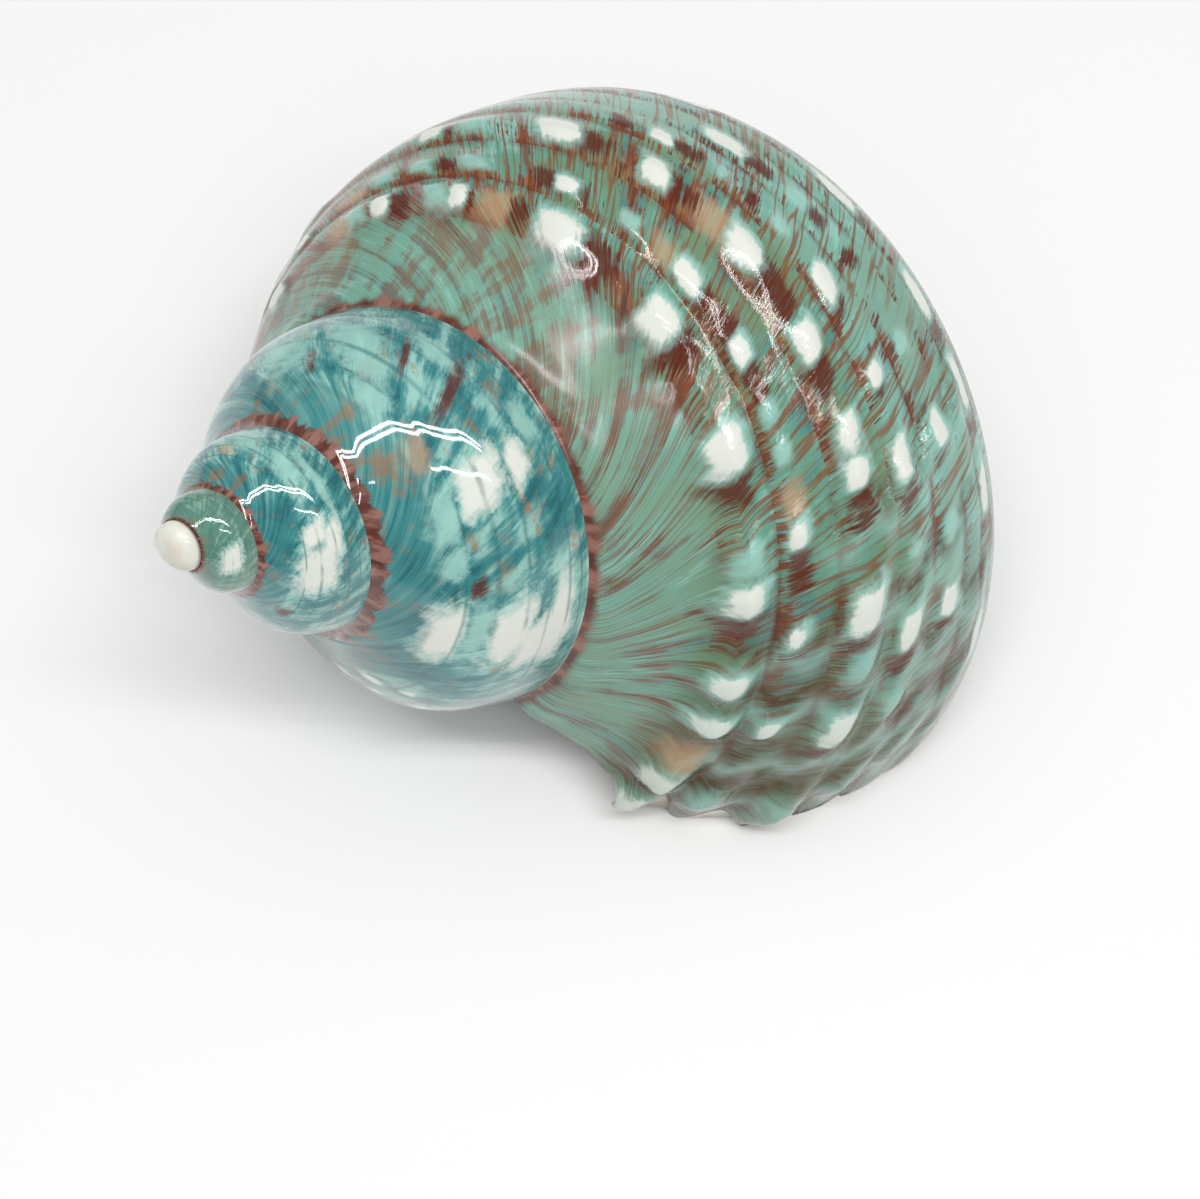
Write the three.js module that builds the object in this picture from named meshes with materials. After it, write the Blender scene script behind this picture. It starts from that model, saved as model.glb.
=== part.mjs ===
// Turban shell, polished: one right-handed spiral shell lying on its aperture.
// Millimetres, +Z up, origin on the table under the middle of the shell.
import * as THREE from 'three';

// Spiral: the axis runs from the apex (up and left) down to the base.
const APEX = new THREE.Vector3(-39.83, -22.53, 49.25);
const AXIS_HEADING_DEG = 36.78;
const AXIS_DIP_DEG = 37.85;
const GROWTH_PER_TURN = 2.0563;
const START_ANGLE_DEG = 15.75;
const SUTURE_RADIUS = 23.51;

// Whorl outline, from one suture outward over the girdle rows to the axis.
// Each stop: radius and height in suture radii, then how far in turns the growth line trails there.
const SUTURE_HEIGHT = 1.602;
const SUTURE_LAG = 0.2375;
const OUTLINE = [
  [1, SUTURE_HEIGHT, 0],
  [1.521, 2.049, 0.143],
  [1.701, 2.226, 0.165],
  [1.886, 2.467, 0.187],
  [1.979, 2.693, 0.202],
  [2.026, 2.934, 0.216],
  [GROWTH_PER_TURN, SUTURE_HEIGHT * GROWTH_PER_TURN, SUTURE_LAG],
  [1.985, 3.45, 0.241],
  [1.78, 3.585, 0.248],
  [1.35, 3.73, 0.262],
  [0.75, 3.85, 0.293],
  [0.05, 3.86, 0.356],
];
const NEXT_SUTURE = 6;
const AXIS_STOP = OUTLINE.length - 1;

// Outer lip: it runs ahead of the suture by this many turns, less at the suture and the axis.
const LIP_ADVANCE = 0.156;
const LIP_SHARE = [0, 0.87, 0.91, 0.96, 1, 1, 1, 1, 1, 0.98, 0.86, 0.55];
const LIP_FAN_TURNS = 0.36;
const LIP_FAN_POWER = 1.6;

// Girdle rows: cord height, nodule height, both in suture radii; nodule position and spacing in turns.
const ROWS = [
  { stop: 1, cord: 0.016, nodule: 0.06, at: 0.0075, pitch: 0.0655 },
  { stop: 2, cord: 0.014, nodule: 0.034, at: 0.0095, pitch: 0.0435 },
  { stop: 3, cord: 0.018, nodule: 0.042, at: -0.008, pitch: 0.0505 },
  { stop: 4, cord: 0.018, nodule: 0.018, at: -0.008, pitch: 0.0505 },
  { stop: 5, cord: 0.014, nodule: 0.01, at: -0.02, pitch: 0.0475 },
];
const ROW_HALF_WIDTH = 0.62;
const RAMP_EDGE_HALF_WIDTH = 0.4;
const SUTURE_CORD = 0.014;
const SUTURE_CORD_STOP = 0.24;
const SUTURE_CORD_HALF_WIDTH = 0.22;
const RELIEF_FROM = -0.8;
const RELIEF_FULL = -0.25;

// Hollow behind the aperture.
const LIP_WALL = 1.1;
const INNER_WALL = 2.4;
const HOLLOW_TURNS = 0.42;
const WALL_SWELL_TURNS = 0.12;
const WALL_SHARE_LIMIT = 0.6;

// Facets.
const STEPS_PER_TURN = 80;
const FIRST_STEP = -280;
const LAST_STEP = 4;
const SPIRE_FACETS = 7;
const RAMP_FACETS = 5;
const ROW_FACETS = 4;
const BASE_FACETS = 3;
const HOLLOW_STEPS = 14;
const INNER_FACETS = 18;
const COLUMELLA_FACETS = 6;
const TIP_RISE = 0.7;

const SUTURE_STEPS = Math.round((1 - SUTURE_LAG) * STEPS_PER_TURN);
const BODY_STEP = LAST_STEP - SUTURE_STEPS;
const outlineStops = OUTLINE.map((stop) => new THREE.Vector3(...stop));
const outline = new THREE.CatmullRomCurve3(outlineStops, false, 'centripetal');

const heading = THREE.MathUtils.degToRad(AXIS_HEADING_DEG);
const dip = THREE.MathUtils.degToRad(AXIS_DIP_DEG);
const axis = new THREE.Vector3(
  Math.cos(dip) * Math.cos(heading),
  Math.cos(dip) * Math.sin(heading),
  -Math.sin(dip),
);
const level = new THREE.Vector3().crossVectors(axis, new THREE.Vector3(0, 0, 1)).normalize();
const steep = new THREE.Vector3().crossVectors(axis, level);

function lipShare(g) {
  const low = Math.min(Math.floor(g), AXIS_STOP - 1);
  return THREE.MathUtils.lerp(LIP_SHARE[low], LIP_SHARE[low + 1], g - low);
}

function bump(x) {
  return Math.abs(x) < 1 ? Math.cos((Math.PI / 2) * x) ** 2 : 0;
}

// Height of the cords and nodules above the plain whorl.
function relief(turn, g) {
  const grown = THREE.MathUtils.smoothstep(turn, RELIEF_FROM, RELIEF_FULL);
  let height = SUTURE_CORD * bump((g - SUTURE_CORD_STOP) / SUTURE_CORD_HALF_WIDTH);
  for (const row of ROWS) {
    const across = g - row.stop;
    const share = bump(across / (across < 0 && row.stop === 1 ? RAMP_EDGE_HALF_WIDTH : ROW_HALF_WIDTH));
    const phase = (turn - row.at) / row.pitch;
    const nodule = Math.cos(Math.PI * (phase - Math.round(phase))) ** 2;
    height += share * (row.cord + row.nodule * nodule) * grown;
  }
  return height;
}

// Point of the outside at growth stage u (turns at the suture) and outline stop g.
function skin(u, g, bumps) {
  const at = outline.getPoint(g / AXIS_STOP);
  const fan = Math.max(0, 1 + (u - LAST_STEP / STEPS_PER_TURN) / LIP_FAN_TURNS) ** LIP_FAN_POWER;
  const turn = u - at.z + LIP_ADVANCE * lipShare(g) * fan;
  if (bumps) {
    const ahead = outline.getTangent(g / AXIS_STOP);
    const lift = relief(turn, g) / Math.hypot(ahead.x, ahead.y);
    at.x += lift * ahead.y;
    at.y -= lift * ahead.x;
  }
  const size = SUTURE_RADIUS * GROWTH_PER_TURN ** turn;
  const angle = 2 * Math.PI * turn + THREE.MathUtils.degToRad(START_ANGLE_DEG);
  return APEX.clone()
    .addScaledVector(level, size * at.x * Math.cos(angle))
    .addScaledVector(steep, size * at.x * Math.sin(angle))
    .addScaledVector(axis, size * at.y);
}

const points = [];
const faces = [];

// The table flattens whatever would reach below it.
function place(point) {
  points.push(point.x, point.y, Math.max(point.z, 0));
  return points.length / 3 - 1;
}

function triangle(a, b, c) {
  if (a !== b && b !== c && c !== a) faces.push(a, b, c);
}

// Strip between two chains of corners, which may differ in count.
function bridge(near, far) {
  let i = 0;
  let j = 0;
  while (i < near.length - 1 || j < far.length - 1) {
    const nextNear = i < near.length - 1 ? (i + 1) / (near.length - 1) : 2;
    const nextFar = j < far.length - 1 ? (j + 1) / (far.length - 1) : 2;
    if (nextNear <= nextFar) {
      triangle(near[i], far[j], near[i + 1]);
      i += 1;
    } else {
      triangle(near[i], far[j], far[j + 1]);
      j += 1;
    }
  }
}

function evenly(from, to, count) {
  return Array.from({ length: count + 1 }, (_, k) => from + ((to - from) * k) / count);
}

const spireStops = evenly(0, NEXT_SUTURE, SPIRE_FACETS);
const upperStops = [
  ...evenly(0, 1, RAMP_FACETS),
  ...evenly(1, NEXT_SUTURE, ROW_FACETS * (NEXT_SUTURE - 1)).slice(1),
];
const baseStops = evenly(NEXT_SUTURE, AXIS_STOP, BASE_FACETS * (AXIS_STOP - NEXT_SUTURE));

// Outside: each whorl starts on the suture left by the whorl before it.
const sutures = new Map();
const rows = new Map();
for (let step = FIRST_STEP; step <= LAST_STEP; step += 1) {
  const u = step / STEPS_PER_TURN;
  const body = step >= BODY_STEP;
  const stops = body ? upperStops : spireStops;
  const upper = stops.map((g, k) => {
    const shared = k === 0 ? sutures.get(step) : undefined;
    return shared ?? place(skin(u, g, true));
  });
  sutures.set(step + SUTURE_STEPS, upper[upper.length - 1]);
  const base = body ? baseStops.slice(1).map((g) => place(skin(u, g, true))) : [];
  rows.set(step, { upper, base: [upper[upper.length - 1], ...base] });
  if (step > FIRST_STEP) {
    const before = rows.get(step - 1);
    bridge(before.upper, upper);
    if (step > BODY_STEP) bridge(before.base, rows.get(step).base);
  }
}

// Worn tip of the spire.
const tipSize = SUTURE_RADIUS * GROWTH_PER_TURN ** (FIRST_STEP / STEPS_PER_TURN);
const tip = place(APEX.clone().addScaledVector(axis, tipSize * SUTURE_HEIGHT * TIP_RISE));
const tipSteps = evenly(FIRST_STEP + SUTURE_STEPS, FIRST_STEP, SUTURE_STEPS);
const tipEdge = tipSteps.map((step) => rows.get(step).upper[0]);
bridge([tip], [...rows.get(FIRST_STEP).upper, ...tipEdge.slice(1)]);

// Inside: rings of lip, columella and parietal wall, each drawn in by the wall's thickness.
function ring(depth) {
  const u = LAST_STEP / STEPS_PER_TURN - depth;
  const grown = THREE.MathUtils.smoothstep(depth, 0, WALL_SWELL_TURNS);
  const wall = LIP_WALL + (INNER_WALL - LIP_WALL) * grown;
  const behind = u - SUTURE_STEPS / STEPS_PER_TURN;
  const foot = skin(u, AXIS_STOP, false);
  const head = skin(behind, AXIS_STOP, false);
  const lip = evenly(0, AXIS_STOP, INNER_FACETS).map((g) => skin(u, g, false));
  const columella = evenly(0, 1, COLUMELLA_FACETS).map((share) => foot.clone().lerp(head, share));
  const parietal = [...baseStops].reverse().map((g) => skin(behind, g, false));
  const all = [...lip, ...columella, ...parietal];
  const middle = all.reduce((sum, point) => sum.add(point), new THREE.Vector3()).divideScalar(all.length);
  const draw = (point) => {
    const share = Math.min(WALL_SHARE_LIMIT, wall / point.distanceTo(middle));
    return point.clone().lerp(middle, share);
  };
  return { lip: lip.map(draw), columella: columella.map(draw), parietal: parietal.map(draw), middle };
}

const last = rows.get(LAST_STEP);
const outerLip = [...last.upper, ...last.base.slice(1)];
const innerLip = ring(0).lip.slice(1, -1).map(place);
let lip = [outerLip[0], ...innerLip, outerLip[outerLip.length - 1]];
let columella = evenly(LAST_STEP, BODY_STEP, SUTURE_STEPS).map((step) => rows.get(step).base.at(-1));
let parietal = [...rows.get(BODY_STEP).base].reverse();
bridge(outerLip, lip);
let inmost;
for (let k = 1; k <= HOLLOW_STEPS; k += 1) {
  const next = ring((HOLLOW_TURNS * k) / HOLLOW_STEPS);
  const nextLip = next.lip.map(place);
  const nextColumella = [nextLip.at(-1), ...next.columella.slice(1).map(place)];
  const nextParietal = [nextColumella.at(-1), ...next.parietal.slice(1, -1).map(place), nextLip[0]];
  bridge(lip, nextLip);
  bridge(columella, nextColumella);
  bridge(parietal, nextParietal);
  lip = nextLip;
  columella = nextColumella;
  parietal = nextParietal;
  inmost = next.middle;
}
bridge([...lip, ...columella.slice(1), ...parietal.slice(1)], [place(inmost)]);

const geometry = new THREE.BufferGeometry();
geometry.setAttribute('position', new THREE.Float32BufferAttribute(points, 3));
geometry.setIndex(faces);
geometry.computeVertexNormals();

const nacreGreen = new THREE.MeshStandardMaterial({ color: 0x6f8f7c, roughness: 0.2, metalness: 0 });
const shell = new THREE.Mesh(geometry, nacreGreen);
shell.name = 'shell';

const turbanShell = new THREE.Group();
turbanShell.name = 'turban_shell';
turbanShell.add(shell);
export default turbanShell;
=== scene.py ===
"""Polished turban shell: a fine coiled mesh, its painted-by-growth finish, a pale table and ceiling tubes."""

import math

import bpy
import numpy as np
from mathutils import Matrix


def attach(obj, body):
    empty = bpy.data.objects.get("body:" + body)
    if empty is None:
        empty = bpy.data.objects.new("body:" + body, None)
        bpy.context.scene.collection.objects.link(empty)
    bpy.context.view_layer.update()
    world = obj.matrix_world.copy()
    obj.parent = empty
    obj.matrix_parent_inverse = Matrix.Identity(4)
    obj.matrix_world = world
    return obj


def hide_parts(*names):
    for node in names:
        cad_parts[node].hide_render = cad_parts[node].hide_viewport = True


bl_info = {
    "name": "Polished Turban Shell",
    "version": (1, 0, 0),
    "blender": (4, 5, 0),
    "location": "View3D > Sidebar > Shell",
    "description": "Builds a polished turban shell and a pale table to show it on",
    "category": "Add Mesh",
}

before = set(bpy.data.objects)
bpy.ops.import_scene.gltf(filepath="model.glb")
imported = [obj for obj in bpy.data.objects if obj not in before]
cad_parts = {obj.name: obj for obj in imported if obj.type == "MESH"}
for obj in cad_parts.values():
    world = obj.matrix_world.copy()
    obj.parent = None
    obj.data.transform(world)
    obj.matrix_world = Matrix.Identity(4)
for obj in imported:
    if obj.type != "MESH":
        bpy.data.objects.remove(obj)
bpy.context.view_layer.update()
MM = 0.001

# Spiral, the same as the solid's: the axis runs from the apex down to the base.
APEX = np.array((-39.83, -22.53, 49.25)) * MM
AXIS_HEADING = math.radians(36.78)
AXIS_DIP = math.radians(37.85)
GROWTH_PER_TURN = 2.0563
START_ANGLE = math.radians(15.75)
SUTURE_HEIGHT = 1.602
SUTURE_LAG = 0.2375

# Whorl outline from the suture over the girdle rows to the axis.
# Each stop: radius and height in suture radii, then how far in turns the growth line trails there.
OUTLINE = np.array((
    (1, SUTURE_HEIGHT, 0),
    (1.521, 2.049, 0.143),
    (1.701, 2.226, 0.165),
    (1.886, 2.467, 0.187),
    (1.979, 2.693, 0.202),
    (2.026, 2.934, 0.216),
    (GROWTH_PER_TURN, SUTURE_HEIGHT * GROWTH_PER_TURN, SUTURE_LAG),
    (1.985, 3.45, 0.241),
    (1.78, 3.585, 0.248),
    (1.35, 3.73, 0.262),
    (0.75, 3.85, 0.293),
    (0.05, 3.86, 0.356),
))
NEXT_SUTURE = 6
AXIS_STOP = len(OUTLINE) - 1
NEARBY_STOPS = 0.001

# Outer lip: it runs ahead of the suture by this many turns, less at the suture and the axis.
# A look back by a small part of a turn gives the direction in which it grows.
LIP_ADVANCE = 0.156
LIP_SHARE = (0, 0.87, 0.91, 0.96, 1, 1, 1, 1, 1, 0.98, 0.86, 0.55)
LIP_FAN_TURNS = 0.36
LIP_FAN_POWER = 1.6
LIP_STAGE = 0.05
LIP_ROUNDING = 0.35 * MM
LIP_LOOK_BACK = 0.004

# Hollow behind the lip, the largest share of the way to its middle that a wall takes, and the worn tip.
HOLLOW_TURNS = 0.42
WALL_SWELL_TURNS = 0.12
WALL_MOST = 0.6
TIP_RISE = 0.62

# Depth over which the lip's edge is pressed softly onto the table.
SETTLE_DEPTH = 0.3 * MM

# Mesh fineness.
STEPS_PER_TURN = 320
FIRST_STEP = -1120
LAST_STEP = round(LIP_STAGE * STEPS_PER_TURN)
SUTURE_STEPS = round((1 - SUTURE_LAG) * STEPS_PER_TURN)
BODY_STEP = LAST_STEP - SUTURE_STEPS
SPIRE_FACETS = 36
RAMP_FACETS = 26
ROW_FACETS = 20
BASE_FACETS = 10
LIP_FACETS = 3
HOLLOW_STEPS = 36
INNER_FACETS = 90
COLUMELLA_FACETS = 20
PARIETAL_FACETS = 40
TIP_FACETS = 8

# Girdle rows: middle and half height in stops, half length of a spot and pitch of the unseen spots in turns,
# and how far a nodule stands up in suture radii.
ROWS = {
    1: {"middle": 1.08, "half": 0.27, "length": 0.0095, "nodule": 0.058, "pitch": 0.0655},
    2: {"middle": 1.97, "half": 0.21, "length": 0.0085, "nodule": 0.034, "pitch": 0.0435},
    3: {"middle": 3.02, "half": 0.28, "length": 0.0095, "nodule": 0.042, "pitch": 0.0505},
    4: {"middle": 4.05, "half": 0.24, "length": 0.008, "nodule": 0.02, "pitch": 0.042},
    5: {"middle": 5.05, "half": 0.2, "length": 0.0085, "nodule": 0.012, "pitch": 0.0475},
    6: {"middle": 5.9, "half": 0.17, "length": 0.012, "nodule": 0.0, "pitch": 0.046},
}

# Marks on the rows of the last whorl: place in turns, and size against the row's usual spot.
WHITE_SPOTS = {
    1: ((-0.437, 0.7), (-0.382, 0.6), (-0.318, 1.35), (-0.25, 1.15), (-0.182, 1.2), (-0.111, 0.85),
        (-0.067, 0.6), (-0.043, 0.65), (0.006, 0.9), (0.036, 0.9)),
    2: ((-0.333, 0.8), (-0.262, 1), (-0.223, 0.7), (-0.143, 0.75), (-0.097, 0.7), (-0.05, 0.7)),
    3: ((-0.43, 0.8), (-0.36, 1.15), (-0.311, 0.8), (-0.262, 1), (-0.22, 0.8), (-0.182, 0.65),
        (-0.167, 0.65), (-0.114, 1), (-0.06, 0.9)),
    4: ((-0.326, 0.7), (-0.238, 0.9), (-0.2, 0.6), (-0.169, 1), (-0.103, 1)),
    5: ((-0.311, 1.1), (-0.175, 0.7), (-0.112, 0.8)),
    6: ((-0.4, 1), (-0.345, 0.8), (-0.275, 1), (-0.225, 0.9), (-0.19, 0.9), (-0.15, 0.8), (-0.09, 1)),
}
PALE_SPOTS = {
    1: ((-0.455, 1), (-0.397, 1), (-0.13, 0.9), (-0.066, 1), (-0.044, 1)),
    2: ((-0.445, 1.1), (-0.42, 1), (-0.386, 1.1), (-0.297, 0.8), (-0.195, 0.7), (-0.178, 0.7), (0.004, 1)),
    3: ((-0.405, 1), (-0.09, 0.9), (-0.005, 1.1)),
    4: ((-0.297, 0.7), (-0.265, 0.7), (-0.135, 0.5), (-0.072, 0.9), (-0.03, 1)),
    5: ((-0.275, 0.8), (-0.21, 0.6), (-0.14, 0.8), (-0.05, 1)),
}
MAROON_BLOTS = {
    1: ((-0.425, 0.9), (-0.345, 0.6), (-0.295, 1.2), (-0.232, 0.8), (-0.163, 0.9), (-0.094, 0.5)),
    2: ((-0.405, 0.8), (-0.345, 1.1), (-0.236, 1.3), (-0.205, 0.6), (-0.125, 1.1)),
    3: ((-0.34, 0.9), (-0.293, 0.6), (-0.24, 1.1), (-0.203, 0.7), (-0.15, 0.5)),
    4: ((-0.345, 0.8), (-0.312, 0.8), (-0.28, 0.6), (-0.153, 0.5), (-0.088, 0.4)),
    5: ((-0.292, 0.6), (-0.265, 0.6), (-0.245, 0.5)),
}
TAN_BLOTS = {
    1: ((-0.47, 1.2), (-0.36, 1.3), (-0.012, 1)),
    2: ((-0.47, 1.2), (-0.277, 1), (-0.157, 0.9)),
    3: ((-0.281, 1.2),),
}

# Unseen side of the last whorl, where the rows go on: its turns, and how its spots stray and vary in size.
HIDDEN_FROM = -0.47
HIDDEN_TO = -0.95
HIDDEN_SEED = 7
HIDDEN_STRAY = 0.2
HIDDEN_SIZES = (0.6, 1.1)

# Form of a mark: how square it is, its lean in turns per stop, and the height that even the smallest keeps.
MARK_SQUARENESS = 4
MARK_SLANT = 0.015
MARK_LEAST_HEIGHT = 0.65

# Patches on the spire: place in turns and stops, half length in turns, half height in stops.
SPIRE_WHITE = (
    (-1.045, 1.25, 0.036, 0.5), (-1.065, 3.3, 0.03, 0.75), (-1.06, 4.5, 0.024, 1), (-1.19, 2.6, 0.022, 0.85),
    (-1.2, 4.2, 0.016, 0.5), (-1.075, 5.15, 0.04, 0.3), (-2.1, 2.4, 0.045, 1.4), (-2.15, 3.6, 0.03, 0.8),
    (-2.16, 2.4, 0.02, 0.9), (-3.1, 2.6, 0.05, 1.5),
)
SPIRE_PALE = (
    (-1.165, 1.2, 0.03, 0.45), (-1.12, 1.25, 0.016, 0.45), (-1.06, 2.2, 0.035, 0.4), (-1.36, 3, 0.035, 1),
    (-1.43, 2, 0.04, 1.3), (-1.33, 2.2, 0.03, 0.7), (-1.3, 1.3, 0.025, 0.5), (-1.225, 5.2, 0.02, 0.35),
    (-1.31, 4.4, 0.025, 0.6), (-2.25, 4.3, 0.07, 0.5), (-2.38, 3.5, 0.04, 1.5), (-2.28, 3, 0.05, 0.9),
)
SPIRE_BROWN = (
    (-1.385, 1.5, 0.006, 0.6), (-1.315, 3.3, 0.004, 0.9), (-1.27, 3.6, 0.007, 1.4), (-1.1, 2, 0.01, 0.3),
    (-1.325, 1.9, 0.012, 0.35), (-2.35, 3, 0.005, 1.2), (-1.98, 1.2, 0.015, 0.4),
)
SPIRE_TAN = ((-1.23, 1.15, 0.018, 0.4), (-2.4, 2.2, 0.02, 0.5))

# Relief: heights in suture radii, lengths in turns, and pairs of stops over which it fades in or out.
RELIEF_FROM = -0.8
RELIEF_FULL = -0.25
CORD_HEIGHT = 0.009
CORDS_BEGIN = (0.55, 0.9)
CORDS_END = (5.6, 6)
YOUNG_CORDS = 0.25
LOWER_CORDS = (3, 4.2)
LOWER_CORD_LOSS = 0.65
GROOVES = (0, 0.8, 1.6, 2.57, 3.68, 4.62, 5.35, 5.7, 6.05, 6.45, 6.9, 7.4, 8, 8.7, 9.5, 10.3, 11)
GROOVE_WIDTH = 0.2
NODULE_LENGTH = 2.4
NODULE_WIDTH = 2.1
SUTURE_CORD = 0.013
SUTURE_CORD_HALF = 0.16
CRENULATION = 0.007
CRENULATION_TURNS = 0.037
CRENULATION_LOSS = 0.7
BASE_THREAD = 0.0022
BASE_THREADS_PER_STOP = 4
BASE_THREADS_BEGIN = (6.05, 6.6)
BASE_THREADS_END = (9, 10.5)

# Lip: the rows flare toward it, folds run along it, and each row ends in a lobe.
LIP_FLARE = 0.9
LIP_FLARE_TURNS = 0.17
LIP_FOLD = 0.008
LIP_FOLD_TURNS = 0.021
LIP_FOLD_SLANT = 1.3
LIP_FOLDS_LAST = 0.1
LIP_FOLDS_BEGIN = (0.5, 1)
LIP_TOOTH = 0.017
LIP_TOOTH_TURNS = 0.028
TOOTH_RISE = (0, 0.7)
TOOTH_FALL = (0.72, 1)
TOOTH_LEVEL = 0.4
TEETH_BEGIN = (0.7, 0.95)
TEETH_END = (5, 5.35)

# Pauses in growth: growth stage, height, and the stop from which each one shows.
REST_MARKS = (
    (-0.049, 0.04, 2.1), (-0.022, 0.012, 0.8), (-0.003, 0.022, 0.7), (0.017, 0.024, 0.7), (0.034, 0.02, 0.7),
)
REST_RISE = 0.005
REST_SWELL = 0.016
REST_START = 0.7
REST_END = (5.5, 6)
REST_WAVE = 0.0025
REST_WAVE_PER_STOP = 7
REST_WAVE_PER_TURN = 90
# Lines at the rest marks: how they fade in across the stops, then place and sharpness of the umber foot, part
# painted shade, and of the painted highlight on the crest, in rises.
REST_LINE_START = 0.5
FOOT_AT = -1
FOOT_SHARPNESS = 2.6
CREST_AT = 0.5
CREST_SHARPNESS = 1.6

# Colour fades, from where to where: dull green toward the lip, and browns that are warm away from it,
# but less so on the lower rows.
# The dull green's fade also bounds the painted shade between the lip's knobs.
LIP_COLOUR_TURNS = (-0.16, 0)
LIP_COLOUR_STOPS = (0.5, 0.9)
WARMTH_ENDS_TURNS = (-0.24, -0.08)
COOLER_STOPS = (3, 4.4)
COOLER_LOSS = 0.6

# Areas of colour, from where to where they set in: the spire, its tip, the later part of the last whorl,
# the girdle rows and the lower ones of them.
SPIRE_TURNS = (-0.78, -0.98)
TIP_TURNS = (-2.7, -2.95)
LATE_TURNS = (-0.34, -0.12)
ROWS_STOPS = (0.6, 0.95)
LOWER_ROWS_STOPS = (3.3, 4.4)

# How fast streaks change from groove to groove, and how far they jump where one breaks off.
STREAK_STEP = 1.6
STREAK_JUMP = 3.5

# Polish.
COAT_ROUGHNESS = 0.05
RIPPLE_DEPTH = 0.06 * MM

# Table, the place that the camera looks at, and the width of the camera's frame in millimetres.
TABLE_HALF = 1.5
TABLE_GAP = 0.05 * MM
CAMERA_AIM = np.array((-0.58, -9.51, 0.98)) * MM
SENSOR_WIDTH = 36

# Ceiling and tubes, in tube heights. Each tube: its place across the table, then its start and end along it.
TUBES = ((-0.055, -0.4, 0.6), (-0.125, -0.4, 0.6), (-0.48, 0.0, 0.65))
TUBE_WIDTH = 0.026
CEILING_HEIGHT = 1.1
CEILING_SIZE = 2


def srgb(red, green, blue):
    """Linear colour of a screen colour given in steps of 255."""
    shares = (step / 255 for step in (red, green, blue))
    return tuple(x / 12.92 if x <= 0.04045 else ((x + 0.055) / 1.055) ** 2.4 for x in shares)


def colour(name, description, default):
    return bpy.props.FloatVectorProperty(
        name=name, description=description, default=default, size=3, min=0, max=1, subtype="COLOR")


def length(name, description, default):
    return bpy.props.FloatProperty(
        name=name, description=description, default=default, min=0, subtype="DISTANCE", unit="LENGTH")


class ShellSettings(bpy.types.PropertyGroup):
    """Sizes and colours of the shell."""

    suture_radius: length("Suture radius", "Radius of the last suture at the start of the lip", 23.51 * MM)
    lip_wall: length("Lip wall", "Thickness of the shell at the outer lip", 1.1 * MM)
    inner_wall: length("Inner wall", "Thickness of the shell inside the hollow", 2.4 * MM)
    polish: bpy.props.FloatProperty(
        name="Polish roughness", description="Roughness of the polished outside", default=0.06,
        min=0, max=1, subtype="FACTOR")
    white: colour("White", "Spots on the girdle rows", srgb(232, 234, 224))
    # Pale turquoise also paints the highlight on each rest mark's crest and the glints on the last whorl.
    pale: colour("Pale turquoise", "Soft edges of the white spots", srgb(160, 210, 198))
    teal: colour("Teal", "Ground of the spire", srgb(56, 134, 136))
    deep_teal: colour("Deep teal", "Spiral lines of the spire", srgb(34, 104, 110))
    sea_green: colour("Sea green", "Ground of the last whorl", srgb(102, 158, 138))
    grey_green: colour("Grey green", "Clouding of the last whorl", srgb(110, 142, 112))
    moss: colour("Moss", "Dull green toward the lip", srgb(92, 112, 82))
    olive: colour("Olive", "Older growth lines", srgb(112, 88, 56))
    # Umber also paints the shade between the lip's knobs, and in part the shade at the foot of each rest
    # mark.
    umber: colour("Umber", "Growth lines toward the lip", srgb(84, 62, 40))
    brown: colour("Brown", "Growth lines", srgb(132, 66, 30))
    rust: colour("Rust", "Lighter growth lines and stains", srgb(160, 106, 58))
    maroon: colour("Maroon", "Blots beside the spots", srgb(92, 32, 16))
    tan: colour("Tan", "Warm patches beside some spots", srgb(200, 162, 126))
    suture_red: colour("Suture red", "Cord along the suture", srgb(112, 58, 48))
    suture_pink: colour("Suture pink", "Worn tops of the suture's scallops", srgb(168, 122, 108))
    tip_cream: colour("Tip cream", "Worn tip of the spire", srgb(222, 216, 200))
    nacre: colour("Nacre", "Inside of the hollow", srgb(226, 222, 214))
    nacre_sheen: colour("Nacre sheen", "Faint green clouds of the hollow", srgb(206, 222, 212))
    amber: colour("Amber", "Thin edge of the lip", srgb(196, 150, 92))


class StageSettings(bpy.types.PropertyGroup):
    """Table, light and camera."""

    table: colour("Table", "Colour of the table", (0.88, 0.88, 0.875))
    room: bpy.props.FloatProperty(
        name="Room light", description="Brightness of the pale room", default=0.25, min=0)
    tube_power: bpy.props.FloatProperty(
        name="Tube power", description="Power of each ceiling tube", default=3.6, min=0, unit="POWER")
    ceiling_power: bpy.props.FloatProperty(
        name="Ceiling power", description="Power of the soft light thrown back by the ceiling", default=12.0,
        min=0, unit="POWER")
    tube_height: length("Tube height", "Height of the ceiling tubes above the table", 1.2)
    lens: bpy.props.FloatProperty(
        name="Lens", description="Focal length on a 36 mm frame", default=60.0, min=1, unit="CAMERA")
    tilt: bpy.props.FloatProperty(
        name="Camera tilt", description="Tilt of the view away from straight down",
        default=math.radians(20), subtype="ANGLE", unit="ROTATION")
    distance: length("Camera distance", "Distance to the table at the middle of the view", 222.8 * MM)


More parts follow.
